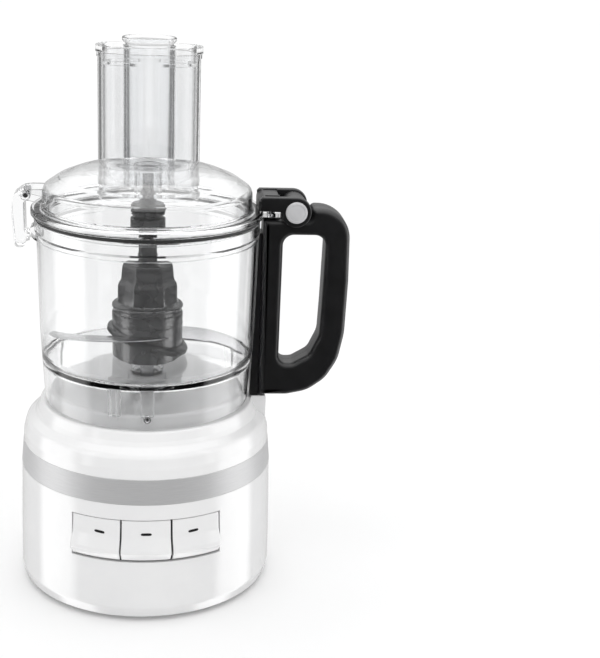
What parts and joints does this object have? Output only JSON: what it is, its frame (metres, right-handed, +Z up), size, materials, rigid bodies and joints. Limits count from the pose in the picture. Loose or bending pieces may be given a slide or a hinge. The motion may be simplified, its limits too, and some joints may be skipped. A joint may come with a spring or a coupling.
{
  "type": "food processor",
  "caption": "Food processor: base with three paddle buttons, a belt-driven spindle, a clear bowl with a black handle, a hinged clear lid with a feed tube and pushers.",
  "frame": {"origin": "on the drive spindle axis, in the plane that the foot ring rests on", "axes": "+Z up along the spindle axis; the controls face -Y; the handle and the lid hinge are towards +X and the latch towards -X"},
  "size_m": [0.242, 0.1954, 0.3996],
  "materials": {
    "base_plastic": "gloss white moulded plastic",
    "silver_band": "satin silver with a fine horizontal brushing",
    "black_plastic": "satin black moulded plastic",
    "inner_plastic": "plain moulded plastic",
    "cap_plastic": "light grey caps",
    "hub_plastic": "satin dark grey moulded plastic",
    "clear_plastic": "clear moulded plastic",
    "rubber": "matt black rubber",
    "steel": "brushed steel",
    "cast_metal": "cast aluminium",
    "laminations": "steel laminations",
    "copper": "varnished copper wire",
    "bronze": "bronze and brass fittings",
    "board": "green circuit board"
  },
  "bodies": {
    "base": {"foot_ring": "rubber", "bottom_cover": "base_plastic", "base_housing": "base_plastic", "trim_band": "silver_band", "button_frame": "inner_plastic", "button_pins": "steel", "micro_switches": "black_plastic", "control_board": "board", "chassis_plate": "cast_metal", "chassis_screws": "steel", "cover_screws": "steel", "spindle_bearings": "steel", "drive_belt": "rubber", "motor_end_bells": "cast_metal", "motor_stator": "laminations", "field_coils": "copper", "motor_bushings": "bronze", "brush_holders": "bronze", "motor_bolts": "steel", "cord_gland": "rubber", "interlock_switch": "black_plastic"},
    "spindle": {"drive_spindle": "steel", "spindle_pulley": "inner_plastic"},
    "rotor": {"motor_rotor": "laminations", "cooling_fan": "inner_plastic", "motor_pulley": "steel"},
    "pulse_button": {"button_pulse": "base_plastic"},
    "low_button": {"button_low": "base_plastic"},
    "high_button": {"button_high": "base_plastic"},
    "plunger": {"interlock_plunger": "base_plastic"},
    "bowl": {"bowl": "clear_plastic", "handle_front": "black_plastic", "handle_back": "black_plastic", "handle_screws": "steel", "rod_channel": "black_plastic"},
    "rod": {"interlock_rod": "black_plastic"},
    "blade_set": {"drive_hub": "hub_plastic", "disc_stem": "hub_plastic", "blade_collar": "hub_plastic", "cutting_blades": "steel"},
    "lid": {"lid": "clear_plastic", "lid_seal": "rubber", "lid_hinge_fork": "black_plastic", "lid_hinge_screws": "steel", "hinge_pin": "steel", "hinge_caps": "cap_plastic", "latch_pin": "steel"},
    "latch": {"latch": "clear_plastic"},
    "large_pusher": {"pusher_large": "clear_plastic"},
    "small_pusher": {"pusher_small": "clear_plastic"}
  },
  "joints": [
    {"name": "spindle_spin", "type": "hinge", "parent": "base", "child": "spindle", "pos_m": [0, 0, 0.1], "axis": [0, 0, 1], "continuous": true},
    {"name": "motor_spin", "type": "hinge", "parent": "base", "child": "rotor", "pos_m": [0, 0.054, 0.08], "axis": [0, 0, 1], "continuous": true},
    {"name": "pulse_press", "type": "hinge", "parent": "base", "child": "pulse_button", "pos_m": [-0.0331, -0.07992, 0.0745], "axis": [0.9239, -0.3827, 0], "range_deg": [0, 4], "stiffness_Nm_per_rad": 0.35, "springref_deg": -11.46},
    {"name": "low_press", "type": "hinge", "parent": "base", "child": "low_button", "pos_m": [0, -0.0865, 0.0745], "axis": [1, 0, 0], "range_deg": [0, 4], "stiffness_Nm_per_rad": 0.35, "springref_deg": -11.46},
    {"name": "high_press", "type": "hinge", "parent": "base", "child": "high_button", "pos_m": [0.0331, -0.07992, 0.0745], "axis": [0.9239, 0.3827, 0], "range_deg": [0, 4], "stiffness_Nm_per_rad": 0.35, "springref_deg": -11.46},
    {"name": "bowl_lift", "type": "slide", "parent": "base", "child": "bowl", "axis": [0, 0, 1], "range_m": [0, 0.105]},
    {"name": "plunger_slide", "type": "slide", "parent": "base", "child": "plunger", "axis": [0, 0, 1], "range_m": [0, 0.003]},
    {"name": "rod_slide", "type": "slide", "parent": "bowl", "child": "rod", "axis": [0, 0, 1], "range_m": [0, 0.003]},
    {"name": "blade_spin", "type": "hinge", "parent": "bowl", "child": "blade_set", "pos_m": [0, 0, 0.2], "axis": [0, 0, 1], "continuous": true},
    {"name": "lid_hinge", "type": "hinge", "parent": "bowl", "child": "lid", "pos_m": [0.106, 0, 0.2848], "axis": [0, 1, 0], "range_deg": [0, 95]},
    {"name": "latch_swing", "type": "hinge", "parent": "lid", "child": "latch", "pos_m": [-0.086, 0, 0.2934], "axis": [0, 1, 0], "range_deg": [0, 95]},
    {"name": "large_pusher_slide", "type": "slide", "parent": "lid", "child": "large_pusher", "axis": [0, 0, 1], "range_m": [0, 0.09]},
    {"name": "small_pusher_slide", "type": "slide", "parent": "large_pusher", "child": "small_pusher", "axis": [0, 0, 1], "range_m": [0, 0.09]}
  ],
  "couplings": [
    {"joint": "motor_spin", "follows": "spindle_spin", "ratio": 4.5},
    {"joint": "blade_spin", "follows": "spindle_spin", "ratio": 1},
    {"joint": "rod_slide", "follows": "lid_hinge", "m_per_rad": 0.0018},
    {"joint": "plunger_slide", "follows": "lid_hinge", "m_per_rad": 0.0018}
  ]
}
